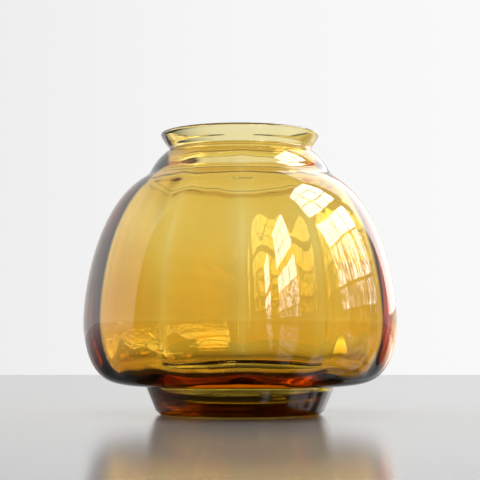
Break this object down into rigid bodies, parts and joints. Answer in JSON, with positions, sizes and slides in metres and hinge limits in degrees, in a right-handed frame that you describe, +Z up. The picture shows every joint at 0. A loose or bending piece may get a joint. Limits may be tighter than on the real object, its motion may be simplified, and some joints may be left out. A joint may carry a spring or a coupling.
{
  "type": "glass vase",
  "caption": "Amber glass vase with a flared collar, stepped shoulder, softly lobed round body and hollow tapered foot.",
  "frame": {"origin": "centre of the foot, on the vase's axis, in the plane that the vase stands on", "axes": "+Z up along the vase's axis, from the foot to the mouth; -Y is the front"},
  "size_m": [0.1792, 0.1792, 0.1618],
  "materials": {
    "amber_glass_collar": "fire-polished clear amber glass, thin and pale",
    "amber_glass": "fire-polished clear amber glass",
    "amber_glass_foot": "fire-polished clear amber glass, thick and deep in colour"
  },
  "bodies": {
    "root": {"flared_collar": "amber_glass_collar", "shoulder_ring": "amber_glass", "lobed_body": "amber_glass", "foot": "amber_glass_foot"}
  },
  "joints": []
}
